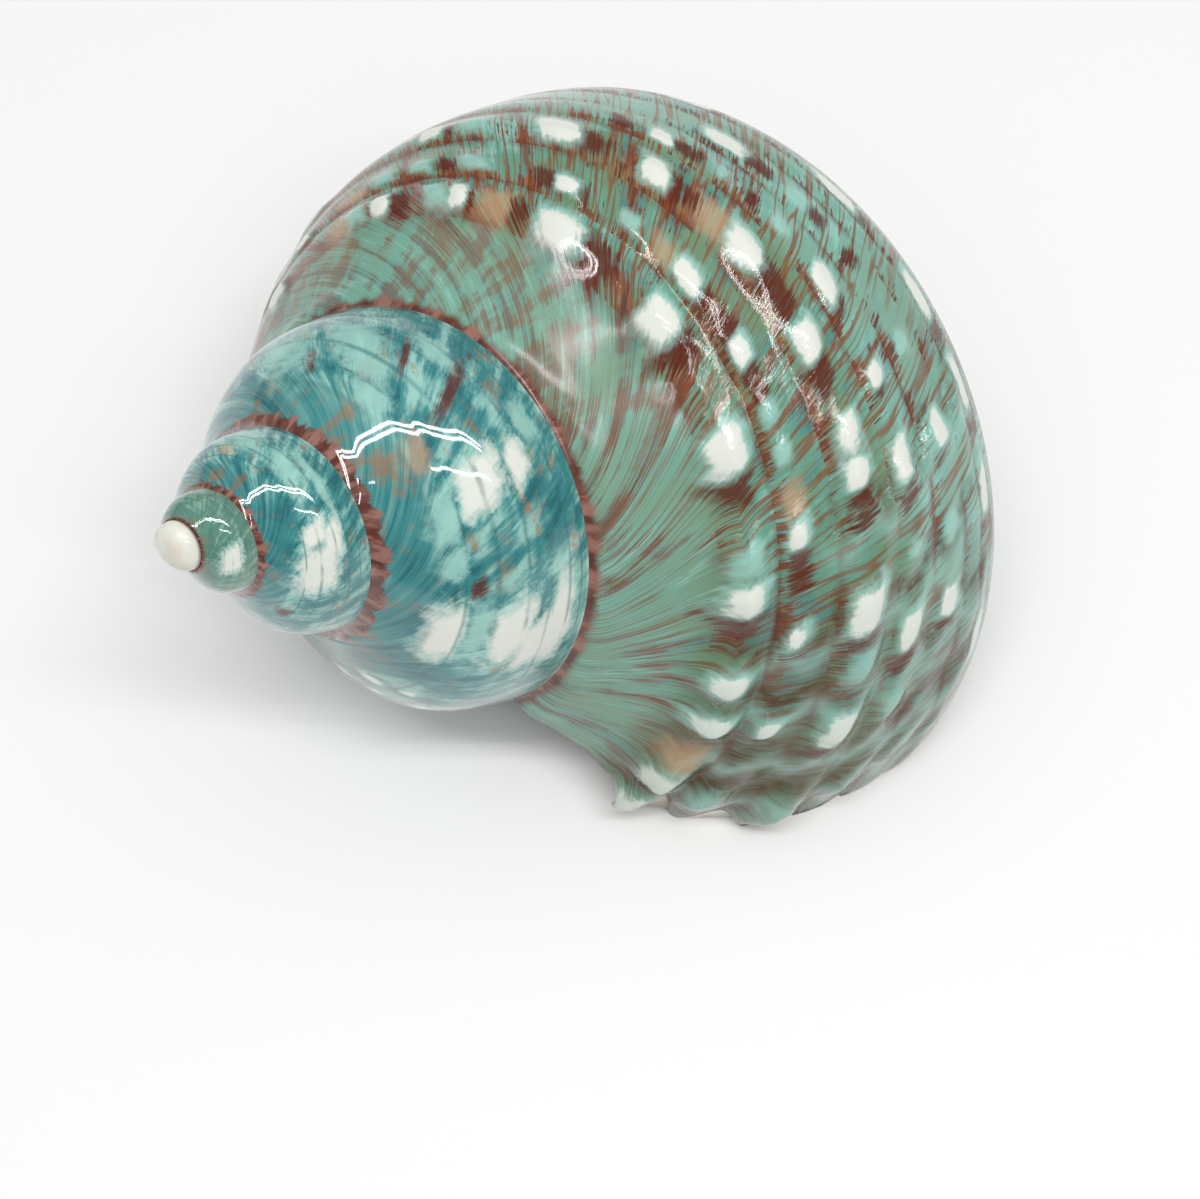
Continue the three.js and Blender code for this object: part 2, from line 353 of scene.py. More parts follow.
class Wire:
    """A shader socket that takes part in Python arithmetic."""

    def __init__(self, tree, socket):
        self.tree = tree
        self.socket = socket

    def math(self, operation, *others):
        """The socket of a Math node that works on this one and the others."""
        return self.tree.node("ShaderNodeMath", {"operation": operation}, dict(enumerate((self, *others))))

    def __add__(self, other):
        return self.math("ADD", other)

    __radd__ = __add__

    def __mul__(self, other):
        return self.math("MULTIPLY", other)

    __rmul__ = __mul__

    def __sub__(self, other):
        return self.math("SUBTRACT", other)

    def __rsub__(self, other):
        return self * -1 + other

    def __abs__(self):
        return self.math("ABSOLUTE")

    def smooth(self, low, high):
        """0 below low, 1 above high and smooth between them."""
        return self.tree.node(
            "ShaderNodeMapRange", {"interpolation_type": "SMOOTHSTEP", "clamp": True},
            {"Value": self, "From Min": low, "From Max": high})


class Finish:
    """A material's node tree."""

    def __init__(self, name):
        self.material = bpy.data.materials.new(name)
        self.material.use_nodes = True
        self.nodes = self.material.node_tree.nodes
        self.links = self.material.node_tree.links
        self.shader = self.nodes["Principled BSDF"]

    def node(self, kind, settings=None, inputs=None, output=0):
        """Makes a node, sets it up, fills its sockets and returns one of its outputs."""
        made = self.nodes.new(kind)
        for name, value in (settings or {}).items():
            setattr(made, name, value)
        for key, value in (inputs or {}).items():
            self.fill(made.inputs[key], value)
        return Wire(self, made.outputs[output])

    def fill(self, socket, value):
        """Links a wire to the socket, or sets a plain value on it."""
        if isinstance(value, Wire):
            self.links.new(value.socket, socket)
        elif socket.type == "RGBA" and len(value) == 3:
            socket.default_value = (*value, 1)
        else:
            socket.default_value = value

    def shade(self, **sockets):
        """Fills the sockets of the surface shader; a name's underscores stand for spaces."""
        for name, value in sockets.items():
            self.fill(self.shader.inputs[name.replace("_", " ")], value)

    def attribute(self, name):
        """The three numbers of a vector that the mesh carries."""
        vector = self.node("ShaderNodeAttribute", {"attribute_name": name}, output="Vector")
        parts = self.node("ShaderNodeSeparateXYZ", inputs={0: vector})
        return [Wire(self, parts.socket.node.outputs[axis]) for axis in range(3)]

    def noise(self, x, y, layer, detail=2.0, roughness=0.5):
        """Noise that swings about 0; each layer has its own pattern."""
        place = self.node("ShaderNodeCombineXYZ", inputs={0: x, 1: y, 2: layer})
        settings = {"noise_dimensions": "3D"}
        inputs = {"Vector": place, "Scale": 1.0, "Detail": detail, "Roughness": roughness}
        return self.node("ShaderNodeTexNoise", settings, inputs) - 0.5

    def mix(self, under, over, share):
        """Colour under, covered by colour over where share is 1."""
        settings = {"data_type": "RGBA", "clamp_factor": True}
        return self.node("ShaderNodeMix", settings, {0: share, 6: under, 7: over}, output=2)

    def bump(self, height, depth):
        """Normal of a surface that stands depth higher where height is 1."""
        return self.node("ShaderNodeBump", inputs={"Strength": 1.0, "Distance": depth, "Height": height})


def smoothstep(x, low, high):
    """0 below low, 1 above high and smooth between them."""
    share = np.clip((x - low) / (high - low), 0, 1)
    return share * share * (3 - 2 * share)


def hump(x):
    """1 at 0, falling smoothly to 0 at -1 and 1."""
    return np.where(np.abs(x) < 1, np.cos(np.pi / 2 * np.clip(x, -1, 1)) ** 2, 0)


def outline_at(g):
    """Radius, height and lag at outline stop g, on a centripetal curve through the stops."""
    ends = np.vstack((2 * OUTLINE[0] - OUTLINE[1], OUTLINE, 2 * OUTLINE[-1] - OUTLINE[-2]))
    low = np.clip(np.floor(g).astype(int), 0, AXIS_STOP - 1)
    share = (g - low)[..., None]
    p0, p1, p2, p3 = (ends[low + k] for k in range(4))

    def knot(a, b):
        return ((a - b) ** 2).sum(-1, keepdims=True) ** 0.25

    d0, d1, d2 = knot(p0, p1), knot(p1, p2), knot(p2, p3)
    start = ((p1 - p0) / d0 - (p2 - p0) / (d0 + d1) + (p2 - p1) / d1) * d1
    end = ((p2 - p1) / d1 - (p3 - p1) / (d1 + d2) + (p3 - p2) / d2) * d1
    bend = -3 * p1 + 3 * p2 - 2 * start - end
    return p1 + start * share + bend * share ** 2 + (2 * p1 - 2 * p2 + start + end) * share ** 3


def row_marks(marks):
    """Marks of the rows as places in turns and stops with half length and half height."""
    placed = []
    for row, spots in marks.items():
        form = ROWS[row]
        for turn, size in spots:
            tall = MARK_LEAST_HEIGHT + (1 - MARK_LEAST_HEIGHT) * size
            placed.append((turn, form["middle"], form["length"] * size, form["half"] * tall))
    return placed


def hidden_spots(rng):
    """Spots that carry the rows on round the far side of the last whorl."""
    spots = {}
    for row, form in ROWS.items():
        count = int((HIDDEN_FROM - HIDDEN_TO) / form["pitch"])
        stray = rng.uniform(-HIDDEN_STRAY, HIDDEN_STRAY, count)
        places = HIDDEN_FROM - form["pitch"] * (1 + np.arange(count) + stray)
        spots[row] = tuple(zip(places, rng.uniform(*HIDDEN_SIZES, count)))
    return spots


def beside(marks, ahead, down, longer, taller):
    """A mark beside each mark: so many half lengths ahead in growth and half heights down."""
    return [
        (turn + ahead * half_turn, stop + down * half_stop, longer * half_turn, taller * half_stop)
        for turn, stop, half_turn, half_stop in marks
    ]


ALL_WHITE = row_marks(WHITE_SPOTS) + row_marks(hidden_spots(np.random.default_rng(HIDDEN_SEED)))
ALL_PALE = row_marks(PALE_SPOTS) + beside(ALL_WHITE, ahead=-0.3, down=0.5, longer=1.05, taller=1.1)
ALL_MAROON = row_marks(MAROON_BLOTS) + beside(ALL_WHITE, ahead=1.35, down=-0.1, longer=0.5, taller=1.2)
ALL_TAN = row_marks(TAN_BLOTS)


def field(turn, g, marks):
    """1 in the middle of a mark, 0 on its edge and -1 at twice its size or farther."""
    value = np.full(turn.shape, -1.0)
    for at, stop, half_turn, half_stop in marks:
        along = (turn - at + MARK_SLANT * (g - stop)) / half_turn
        across = (g - stop) / half_stop
        away = (along ** MARK_SQUARENESS + across ** MARK_SQUARENESS) ** (1 / MARK_SQUARENESS)
        np.maximum(value, 1 - away, out=value)
    return value


def nodules(turn, g):
    """Nodules under the white spots of the rows, in suture radii."""
    height = np.zeros(turn.shape)
    forms = ROWS.values()
    rise = np.interp(g, [form["middle"] for form in forms], [form["nodule"] for form in forms])
    for at, stop, half_turn, half_stop in ALL_WHITE + row_marks(PALE_SPOTS):
        along = hump((turn - at + MARK_SLANT * (g - stop)) / (NODULE_LENGTH * half_turn))
        across = hump((g - stop) / (NODULE_WIDTH * half_stop))
        np.maximum(height, rise * across * along, out=height)
    return height


def rest_edge(at, g):
    """Growth stage of a rest mark, which wavers from row to row."""
    return at + REST_WAVE * np.sin(REST_WAVE_PER_STOP * g + REST_WAVE_PER_TURN * at)


def rest_lines(stage, g):
    """Two shares: 1 along the foot, and 1 along the crest of each rest mark, fading out to 0 beside it."""
    # The crest share places a painted highlight; the foot share an umber line, part brown and part painted
    # shade.
    foot_line = np.zeros(stage.shape)
    crest_line = np.zeros(stage.shape)
    for at, _, start in REST_MARKS:
        past = (stage - rest_edge(at, g)) / REST_RISE
        along = smoothstep(g, start, start + REST_LINE_START)
        foot = np.exp(-(FOOT_SHARPNESS * (past - FOOT_AT)) ** 2)
        crest = np.exp(-(CREST_SHARPNESS * (past - CREST_AT)) ** 2)
        np.maximum(foot_line, foot * along, out=foot_line)
        np.maximum(crest_line, crest * along, out=crest_line)
    return foot_line, crest_line


def cords(g, grown):
    """Low cords between the grooves, flatter on the lower rows and on the early whorls."""
    groove = np.abs((rib_at(g) + 0.5) % 1 - 0.5)
    shown = smoothstep(g, *CORDS_BEGIN) * (1 - smoothstep(g, *CORDS_END))
    shown = shown * (1 - LOWER_CORD_LOSS * smoothstep(g, *LOWER_CORDS))
    shown = shown * (YOUNG_CORDS + (1 - YOUNG_CORDS) * grown)
    return CORD_HEIGHT * (1 - np.exp(-(groove / GROOVE_WIDTH) ** 2)) * shown


def suture_cord(turn, g, grown):
    """Scalloped cord along the suture; the scallops fade on the last whorl."""
    scallop = np.abs(np.sin(np.pi * turn / CRENULATION_TURNS))
    band = hump((g - SUTURE_CORD_HALF) / SUTURE_CORD_HALF)
    return band * (SUTURE_CORD + CRENULATION * scallop * (1 - CRENULATION_LOSS * grown))


def base_threads(g):
    """Fine spiral threads under the rows."""
    shown = smoothstep(g, *BASE_THREADS_BEGIN) * (1 - smoothstep(g, *BASE_THREADS_END))
    return BASE_THREAD * np.cos(2 * np.pi * BASE_THREADS_PER_STOP * g) * shown


def growth_pauses(stage, g):
    """Ridges left where growth paused, and folds close to the lip."""
    height = np.zeros(stage.shape)
    for at, rise, start in REST_MARKS:
        past = stage - rest_edge(at, g)
        swell = np.exp(-np.maximum(past, 0) / REST_SWELL) * smoothstep(past, -REST_RISE, 0)
        height += rise * swell * smoothstep(g, start, start + REST_START)
    near_lip = smoothstep(stage, LIP_STAGE - LIP_FOLDS_LAST, LIP_STAGE)
    fold = np.sin(2 * np.pi * stage / LIP_FOLD_TURNS + LIP_FOLD_SLANT * g)
    height += LIP_FOLD * near_lip * fold * smoothstep(g, *LIP_FOLDS_BEGIN)
    return height * (1 - smoothstep(g, *REST_END))


def relief(turn, g, stage):
    """Height of all that stands up over the plain whorl, in suture radii."""
    grown = smoothstep(turn, RELIEF_FROM, RELIEF_FULL)
    flare = 1 + LIP_FLARE * smoothstep(stage, LIP_STAGE - LIP_FLARE_TURNS, LIP_STAGE)
    rows = (cords(g, grown) + nodules(turn, g) * grown) * flare
    return rows + suture_cord(turn, g, grown) + base_threads(g) + growth_pauses(stage, g)


def rib_at(g):
    """Count of grooves passed at stop g, with the share of the way to the next one."""
    return np.interp(g, GROOVES, range(len(GROOVES)))


def axes():
    """Axis from apex to base, the level direction across it, and the steep one."""
    axis = np.array((
        math.cos(AXIS_DIP) * math.cos(AXIS_HEADING),
        math.cos(AXIS_DIP) * math.sin(AXIS_HEADING),
        -math.sin(AXIS_DIP),
    ))
    level = np.cross(axis, (0, 0, 1))
    level /= np.linalg.norm(level)
    return axis, level, np.cross(axis, level)


AXIS, LEVEL, STEEP = axes()


def lip_fan(stage):
    """How far the growth lines have swung toward the lip: 0 on the older whorl, 1 at the lip."""
    return np.maximum(0, 1 + (stage - LIP_STAGE) / LIP_FAN_TURNS) ** LIP_FAN_POWER


def settle(points):
    """The points, with what would sink into the table pressed almost flat onto it."""
    height = points[..., 2]
    pressed = SETTLE_DEPTH * np.exp(np.minimum(height, SETTLE_DEPTH) / SETTLE_DEPTH - 1)
    points[..., 2] = np.where(height < SETTLE_DEPTH, pressed, height)
    return points


def lip_teeth(g):
    """How far the lobe at the end of each row runs ahead, or lags where below 0, in tooth lengths."""
    place = rib_at(g) % 1
    tooth = smoothstep(place, *TOOTH_RISE) * (1 - smoothstep(place, *TOOTH_FALL)) - TOOTH_LEVEL
    return tooth * smoothstep(g, *TEETH_BEGIN) * (1 - smoothstep(g, *TEETH_END))


def skin(stage, g, radius, bumps=True):
    """Points of the outside at growth stage (turns at the suture) and outline stop, and their turns."""
    stage, g = np.broadcast_arrays(np.asarray(stage, float), np.asarray(g, float))
    at = outline_at(g)
    share = np.interp(g, range(AXIS_STOP + 1), LIP_SHARE)
    turn = stage - at[..., 2] + LIP_ADVANCE * share * lip_fan(stage)
    near_lip = smoothstep(stage, LIP_STAGE - LIP_TOOTH_TURNS, LIP_STAGE)
    turn = turn + LIP_TOOTH * lip_teeth(g) * near_lip
    across, along = at[..., 0], at[..., 1]
    if bumps:
        near = outline_at(np.clip(g - NEARBY_STOPS, 0, AXIS_STOP))
        far = outline_at(np.clip(g + NEARBY_STOPS, 0, AXIS_STOP))
        ahead = far - near
        lift = relief(turn, g, stage) / np.hypot(ahead[..., 0], ahead[..., 1])
        across = across + lift * ahead[..., 1]
        along = along - lift * ahead[..., 0]
    size = radius * GROWTH_PER_TURN ** turn
    angle = 2 * np.pi * turn + START_ANGLE
    points = APEX + (
        (size * across * np.cos(angle))[..., None] * LEVEL
        + (size * across * np.sin(angle))[..., None] * STEEP
        + (size * along)[..., None] * AXIS)
    return settle(points), turn


class Patchwork:
    """Corners and triangles of the shell, gathered patch by patch."""

    def __init__(self):
        self.points = []
        self.coil = []
        self.faces = []
        self.finish = []
        self.count = 0

    def add(self, points, stage=0.0, g=0.0, turn=0.0):
        """Adds corners and returns their numbers in the same layout."""
        shape = points.shape[:-1]
        self.points.append(points.reshape(-1, 3))
        coil = np.stack([np.broadcast_to(part, shape) for part in (stage, g, turn)], -1)
        self.coil.append(coil.reshape(-1, 3))
        numbers = self.count + np.arange(np.prod(shape)).reshape(shape)
        self.count += numbers.size
        return numbers

    def sheet(self, grid, finish):
        """Triangles over a grid of corners."""
        a, b, c, d = grid[:-1, :-1], grid[1:, :-1], grid[1:, 1:], grid[:-1, 1:]
        for corners in ((a, b, c), (a, c, d)):
            self.tile(np.stack(corners, -1).reshape(-1, 3), finish)

    def tile(self, faces, finish):
        """Takes in triangles of one finish."""
        self.faces.append(np.asarray(faces).reshape(-1, 3))
        self.finish.append(np.full(len(self.faces[-1]), finish))

    def bridge(self, near, far, finish):
        """Strip between two chains of corners, which may differ in count."""
        faces = []
        i = j = 0
        while i < len(near) - 1 or j < len(far) - 1:
            next_near = (i + 1) / (len(near) - 1) if i < len(near) - 1 else 2
            next_far = (j + 1) / (len(far) - 1) if j < len(far) - 1 else 2
            if next_near <= next_far:
                faces.append((near[i], far[j], near[i + 1]))
                i += 1
            else:
                faces.append((near[i], far[j], far[j + 1]))
                j += 1
        self.tile(faces, finish)

    def weld(self):
        """Welded points, faces on them, and the loose corners that carry each face's marks."""
        points = np.concatenate(self.points)
        loose = np.concatenate(self.faces)
        finish = np.concatenate(self.finish)
        welded, place = np.unique(points, axis=0, return_inverse=True)
        faces = place.reshape(-1)[loose]
        whole = (faces[:, 0] != faces[:, 1]) & (faces[:, 1] != faces[:, 2]) & (faces[:, 2] != faces[:, 0])
        return welded, faces[whole], loose[whole], finish[whole], np.concatenate(self.coil)


OUTSIDE, TIP, RIM, INSIDE = range(4)


def grow_outside(patches, radius):
    """Spire and last whorl, each whorl starting on the suture left by the one before it."""
    spire_stages = np.arange(FIRST_STEP, BODY_STEP)[:, None] / STEPS_PER_TURN
    spire_stops = np.linspace(0, NEXT_SUTURE, SPIRE_FACETS + 1)
    body_stages = np.arange(BODY_STEP, LAST_STEP + 1)[:, None] / STEPS_PER_TURN
    upper_stops = np.concatenate((
        np.linspace(0, 1, RAMP_FACETS + 1),
        np.linspace(1, NEXT_SUTURE, ROW_FACETS * (NEXT_SUTURE - 1) + 1)[1:]))
    base_stops = np.linspace(NEXT_SUTURE, AXIS_STOP, BASE_FACETS * (AXIS_STOP - NEXT_SUTURE) + 1)

    spire, spire_turn = skin(spire_stages, spire_stops, radius)
    upper, upper_turn = skin(body_stages, upper_stops, radius)
    base, base_turn = skin(body_stages, base_stops, radius)
    base[:, 0] = upper[:, -1]
    spire[SUTURE_STEPS:, 0] = spire[:-SUTURE_STEPS, -1]
    seam = np.concatenate((spire[-SUTURE_STEPS:, -1], upper[:1, -1]))
    upper[:, 0] = seam

    spire_grid = patches.add(spire, spire_stages, spire_stops, spire_turn)
    upper_grid = patches.add(upper, body_stages, upper_stops, upper_turn)
    base_grid = patches.add(base, body_stages, base_stops, base_turn)
    for grid in (spire_grid, upper_grid, base_grid):
        patches.sheet(grid, OUTSIDE)
    patches.bridge(spire_grid[-1], upper_grid[0], OUTSIDE)
    return spire, upper_grid, base_grid


def cap_tip(patches, spire, radius):
    """Worn dome over the first turn."""
    edge = np.concatenate((spire[0], spire[SUTURE_STEPS - 1:0:-1, 0], spire[:1, 0]))
    along = (edge - APEX) @ AXIS
    across = edge - APEX - along[:, None] * AXIS
    tip_height = radius * GROWTH_PER_TURN ** (FIRST_STEP / STEPS_PER_TURN) * SUTURE_HEIGHT * TIP_RISE
    angles = np.linspace(0, np.pi / 2, TIP_FACETS + 1)
    rise = np.sin(angles)[:, None]
    heights = along + (tip_height - along) * rise
    dome = APEX + across * np.cos(angles)[:, None, None] + heights[..., None] * AXIS
    dome[0] = edge
    dome[-1] = APEX + tip_height * AXIS
    dome[:, -1] = dome[:, 0]
    patches.sheet(patches.add(dome), TIP)


def hollow_ring(depth, radius, settings):
    """Lip, columella and parietal wall of the hollow at a depth in turns, drawn in by the wall."""
    stage = LIP_STAGE - depth
    swell = smoothstep(np.array(depth), 0, WALL_SWELL_TURNS)
    wall = settings.lip_wall + (settings.inner_wall - settings.lip_wall) * swell
    behind = stage - SUTURE_STEPS / STEPS_PER_TURN
    lip = skin(stage, np.linspace(0, AXIS_STOP, INNER_FACETS + 1), radius, False)[0]
    parietal = skin(behind, np.linspace(AXIS_STOP, NEXT_SUTURE, PARIETAL_FACETS + 1), radius, False)[0]
    share = np.linspace(0, 1, COLUMELLA_FACETS + 1)[:, None]
    columella = lip[-1] * (1 - share) + parietal[0] * share
    middle = np.concatenate((lip, columella, parietal)).mean(0)
    drawn = []
    for chain in (lip, columella, parietal):
        inward = middle - chain
        reach = np.linalg.norm(inward, axis=-1, keepdims=True)
        drawn.append(chain + inward * np.minimum(WALL_MOST, wall / reach))
    return drawn, middle


def line_hollow(patches, upper_grid, base_grid, radius, settings):
    """Rounded lip edge, then the walls of the hollow behind it."""
    outer = np.concatenate((upper_grid[-1], base_grid[-1][1:]))
    points = np.concatenate(patches.points)
    (inner, _, _), _ = hollow_ring(0.0, radius, settings)
    inner[0], inner[-1] = points[outer[0]], points[outer[-1]]
    stops = np.linspace(0, AXIS_STOP, INNER_FACETS + 1)
    before, _ = skin(LIP_STAGE - LIP_LOOK_BACK, stops, radius, False)
    edge, _ = skin(LIP_STAGE, stops, radius, False)
    ahead = edge - before
    ahead /= np.linalg.norm(ahead, axis=-1, keepdims=True)
    rim = [outer]
    for share in np.linspace(0, 1, LIP_FACETS + 1)[1:-1]:
        round_off = LIP_ROUNDING * math.sin(math.pi * share)
        middle = edge * (1 - share) + inner * share + ahead * round_off
        middle = settle(middle)
        middle[0], middle[-1] = inner[0], inner[-1]
        rim.append(patches.add(middle))
    rim.append(patches.add(inner))
    for near, far in zip(rim, rim[1:]):
        patches.bridge(near, far, RIM)

    chains = [rim[-1], base_grid[::-1, -1], base_grid[0, ::-1]]
    for step in range(1, HOLLOW_STEPS + 1):
        drawn, middle = hollow_ring(HOLLOW_TURNS * step / HOLLOW_STEPS, radius, settings)
        drawn[1][0], drawn[1][-1] = drawn[0][-1], drawn[2][0]
        drawn[2][-1] = drawn[0][0]
        deeper = [patches.add(chain) for chain in drawn]
        for near, far in zip(chains, deeper):
            patches.bridge(near, far, INSIDE)
        chains = deeper
    end = patches.add(middle[None])
    for chain in chains:
        patches.bridge(chain, end, INSIDE)


def shell_mesh(settings):
    """The whole shell as one closed mesh that carries its growth and its marks on every face corner."""
    radius = settings.suture_radius
    patches = Patchwork()
    spire, upper_grid, base_grid = grow_outside(patches, radius)
    cap_tip(patches, spire, radius)
    line_hollow(patches, upper_grid, base_grid, radius, settings)
    points, faces, loose, finish, coil = patches.weld()
    a, b, c = (points[corner] for corner in faces.T)
    inside_out = (a * np.cross(b, c)).sum() < 0
    if inside_out:
        faces, loose = faces[:, ::-1], loose[:, ::-1]
    mesh = bpy.data.meshes.new("shell")
    mesh.from_pydata(points, [], faces.tolist())
    for name, parts in carried(*coil.T).items():
        attribute = mesh.attributes.new(name, "FLOAT_VECTOR", "CORNER")
        attribute.data.foreach_set("vector", np.stack(parts, -1)[loose].astype(np.float32).ravel())
    mesh.polygons.foreach_set("material_index", finish)
    mesh.shade_smooth()
    return mesh


def carried(stage, g, turn):
    """What the finish needs to know at every corner, three numbers to a name."""
    growth = stage + LIP_ADVANCE * lip_fan(stage)
    foot, crest = rest_lines(stage, g)
    lip = smoothstep(turn, *LIP_COLOUR_TURNS) * smoothstep(g, *LIP_COLOUR_STOPS)
    warmth = (1 - smoothstep(turn, *WARMTH_ENDS_TURNS)) * (1 - COOLER_LOSS * smoothstep(g, *COOLER_STOPS))
    white, pale, maroon, tan = (
        np.maximum(field(turn, g, on_rows), field(turn, g, on_spire))
        for on_rows, on_spire in (
            (ALL_WHITE, SPIRE_WHITE),
            (ALL_PALE, SPIRE_PALE),
            (ALL_MAROON, SPIRE_BROWN),
            (ALL_TAN, SPIRE_TAN),
        )
    )
    return {
        "coil": (growth, g, turn),
        # Foot and crest place the rest marks' umber feet, part painted shade, and their painted highlights;
        # lip also bounds the painted shade between the lip's knobs.
        "rests": (foot, crest, lip),
        "marks": (white, pale, maroon),
        "tints": (tan, rib_at(g), warmth),
    }


class Growth:
    """Sockets for what the mesh carries, masks of the shell's areas, and noise along its growth lines."""

    def __init__(self, finish):
        growth, self.g, self.turn = finish.attribute("coil")
        self.foot, self.crest, self.lip = finish.attribute("rests")
        self.white, self.pale, self.maroon = finish.attribute("marks")
        self.tan, rib, self.warmth = finish.attribute("tints")

        self.spire = self.turn.smooth(*SPIRE_TURNS)
        self.rows = self.g.smooth(*ROWS_STOPS)
        self.shoulder = 1 - self.rows
        self.lower = self.g.smooth(*LOWER_ROWS_STOPS)
        self.cord_top = 1 - rib.math("FRACT").smooth(0, 0.55)
        self.from_groove = finish.node("ShaderNodeMath", {"operation": "PINGPONG"}, {0: rib, 1: 0.5})

        # Streaks and striae break off at each groove below the edge of the ramp.
        breaks = (rib.math("FLOOR") - 1).math("MAXIMUM", 0)
        course = rib * STREAK_STEP + breaks * STREAK_JUMP
        self.broad = finish.noise(growth * 70, self.g * 0.55, layer=1.7)
        self.fibre = finish.noise(growth * 260, self.g * 0.5, layer=21.7, detail=1)
        self.streak = finish.noise(growth * 330, course, layer=6.3, roughness=0.55)
        self.grain = finish.noise(growth * 560, self.g * 7, layer=15.2, detail=3, roughness=0.65)
        self.stria = finish.noise(growth * 1000, course, layer=9.1, roughness=0.6)

        # Clouds, patches and warps follow the turn, not the growth lines.
        self.cloud = finish.noise(self.turn * 15, self.g * 0.9, layer=4.2)
        self.patch = finish.noise(self.turn * 36, self.g * 1.6, layer=12.4, detail=3)
        self.warp = finish.noise(self.turn * 80, self.g * 2.4, layer=3.3, detail=3, roughness=0.6)

        self.drip = self.stria * 1.1 + self.streak * 0.9 + self.broad * 0.6 + self.grain * 0.7
        self.ragged = self.warp * 1.2 + self.streak * 0.4 + self.grain * 0.4


def whorl_paint(finish, settings, at):
    """Clouded green ground of the last whorl under its brown growth lines."""
    tone = at.cloud * 0.8 + at.patch * 0.7 + at.streak * 0.6
    paint = finish.mix(settings.grey_green, settings.sea_green, tone.smooth(-0.2, 0.08))
    paint = finish.mix(paint, settings.pale, tone.smooth(0.04, 0.3) * (0.35 + at.rows * 0.4))
    paint = finish.mix(paint, settings.teal, (at.broad + at.patch * 0.7).smooth(0, 0.14) * 0.65)
    # Painted highlight: pale glints streaked along the growth lines, fainter on the rows.
    painted_glint = (at.streak + at.grain * 0.7 + at.patch * 0.5).smooth(0.02, 0.26)
    paint = finish.mix(paint, settings.pale, painted_glint * (1 - at.rows * 0.7) * 0.6)
    paint = finish.mix(paint, settings.pale, at.shoulder * 0.22 + at.lower * 0.36)
    paint = finish.mix(paint, settings.moss, at.lip * 0.85)

    # Stains gather on the tops of the cords, and turn to a soft mottle on the older shoulder.
    late = at.turn.smooth(*LATE_TURNS)
    mottle = at.shoulder * (1 - late * 0.8)
    shade = at.drip * (0.85 - mottle * 0.35) + at.patch * 0.8 + at.warp * mottle * 0.9
    shade = shade + at.rows * (at.cord_top * 0.26 - 0.23) - at.shoulder * 0.07 - mottle * 0.04
    shade = shade + at.broad * 0.5 + at.warmth * 0.12 - at.lower * 0.05 - at.lip * 0.14
    stain = finish.mix(settings.rust, settings.brown, (at.streak * 0.5 + at.patch * 0.5).smooth(-0.08, 0.06))
    dark = (at.drip + at.cord_top * 0.1 + at.warmth * 0.04).smooth(0.1, 0.34)
    stain = finish.mix(stain, settings.maroon, dark)
    stain = finish.mix(stain, settings.olive, at.shoulder * 0.3 + at.lip * 0.8)
    paint = finish.mix(paint, stain, shade.smooth(-0.06, 0.16) * (0.88 - mottle * 0.2))

    # Thin dark threads follow single growth lines.
    thread = 1 - abs(at.fibre).smooth(0.015, 0.075)
    thread = thread * (at.rows + at.shoulder * late * 0.8)
    thread = thread * (at.cloud + at.warmth * 0.2 + at.lip * 0.3).smooth(-0.14, 0.1)
    return finish.mix(paint, finish.mix(settings.brown, settings.umber, at.lip), thread * 0.75)


def spire_paint(finish, settings, at):
    """Teal ground of the spire with rusty stains, greyer toward the tip."""
    tone = at.broad * 1.1 + at.cloud * 0.7 + at.streak * 0.45 + at.grain * 0.2 + at.rows * 0.06
    paint = finish.mix(settings.deep_teal, settings.teal, tone.smooth(-0.24, 0.0))
    paint = finish.mix(paint, settings.pale, tone.smooth(-0.02, 0.34) * (0.3 + at.rows * 0.6))
    rust = (at.drip * 0.6 + at.patch * 1.4 - at.rows * 0.1).smooth(0.04, 0.26)
    paint = finish.mix(paint, settings.rust, rust * 0.7)
    return finish.mix(paint, settings.grey_green, at.turn.smooth(*TIP_TURNS) * 0.55)


def lay_rests_and_painted_light(finish, settings, at, paint):
    """The paint at the pauses in growth: painted shade between the lip's knobs, painted highlights on the
    crests, and umber feet, part brown line and part painted shade.
    """
    # Painted shade: umber darkens the lip between its knobs.
    knob = at.white.math("MAXIMUM", at.pale).smooth(-0.95, 0.2)
    paint = finish.mix(paint, settings.umber, at.lip * (1 - knob) * 0.42)
    # Painted highlight along the crest of each rest mark.
    paint = finish.mix(paint, settings.pale, at.crest * 0.45)
    # Umber line at each rest mark's foot: part brown growth line, part painted shade.
    return finish.mix(paint, settings.umber, at.foot * (at.grain + at.broad).smooth(-0.25, 0.05) * 0.85)


def lay_marks(finish, settings, at, paint):
    """The paint with ragged tan and maroon blots on it, then pale and white spots."""
    blot = at.maroon + at.ragged + at.stria * 2
    paint = finish.mix(paint, settings.tan, (at.tan + at.ragged).smooth(-0.5, 0.6) * 0.6)
    paint = finish.mix(paint, settings.maroon, blot.smooth(-0.3, 0.45) * 0.9)
    paint = finish.mix(paint, settings.pale, (at.pale + at.ragged).smooth(-0.25, 0.6) * (0.8 - at.lip * 0.4))
    halo = (at.white + at.ragged).smooth(-0.4, 0.1)
    paint = finish.mix(paint, settings.pale, halo * (0.55 - at.lip * 0.25))
    blur = 0.06 + at.spire * 0.22
    chalk = (at.white + at.ragged * 0.85 - 0.03).smooth(blur * -1, blur + 0.2)
    return finish.mix(paint, settings.white, chalk * (0.97 - at.lip * 0.3))


